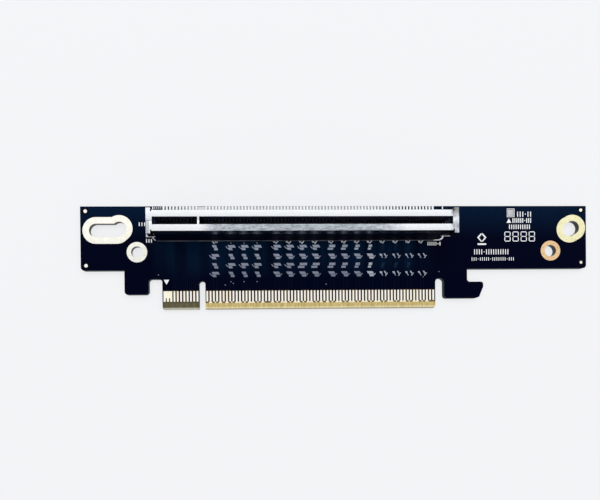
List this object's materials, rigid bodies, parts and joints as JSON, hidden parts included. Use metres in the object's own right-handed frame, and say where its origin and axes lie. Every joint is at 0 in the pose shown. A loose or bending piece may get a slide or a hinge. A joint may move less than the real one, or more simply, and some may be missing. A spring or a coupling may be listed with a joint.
{
  "type": "pcie riser card",
  "caption": "Black circuit board with a row of gold edge fingers, a locking hook and plated screw holes, carrying one long card slot in a folded steel shell on its front face.",
  "frame": {"origin": "middle of the card's outline, on the board's back face", "axes": "+X along the card towards the hook end, +Y from the finger edge to the top edge, +Z out of the front face where the slot stands"},
  "size_m": [0.1568, 0.0316, 0.0128],
  "materials": {
    "board_laminate": "satin black solder mask over glass laminate",
    "housing_plastic": "matte black moulding",
    "shell_steel": "rolled bright, fine lines along the slot",
    "contact_gold": "gold flash",
    "solder_tin": "solder, satin",
    "finger_gold": "hard gold, polished",
    "plating_gold": "thin pale gold over nickel, satin"
  },
  "bodies": {
    "root": {"pcb": "board_laminate", "slot_housing": "housing_plastic", "slot_shell": "shell_steel", "upper_contacts_short_side": "contact_gold", "upper_contacts_long_side": "contact_gold", "lower_contacts_short_side": "contact_gold", "lower_contacts_long_side": "contact_gold", "upper_lands_short_side": "solder_tin", "upper_lands_long_side": "solder_tin", "left_shell_foot_land": "solder_tin", "right_shell_foot_land": "solder_tin", "front_power_finger": "finger_gold", "front_fingers_short_side": "finger_gold", "front_fingers_long_side": "finger_gold", "back_fingers_short_side": "finger_gold", "back_fingers_long_side": "finger_gold", "left_keyhole_plating": "plating_gold", "left_hole_plating": "plating_gold", "right_big_hole_plating": "plating_gold", "right_hole_plating": "plating_gold"}
  },
  "joints": []
}
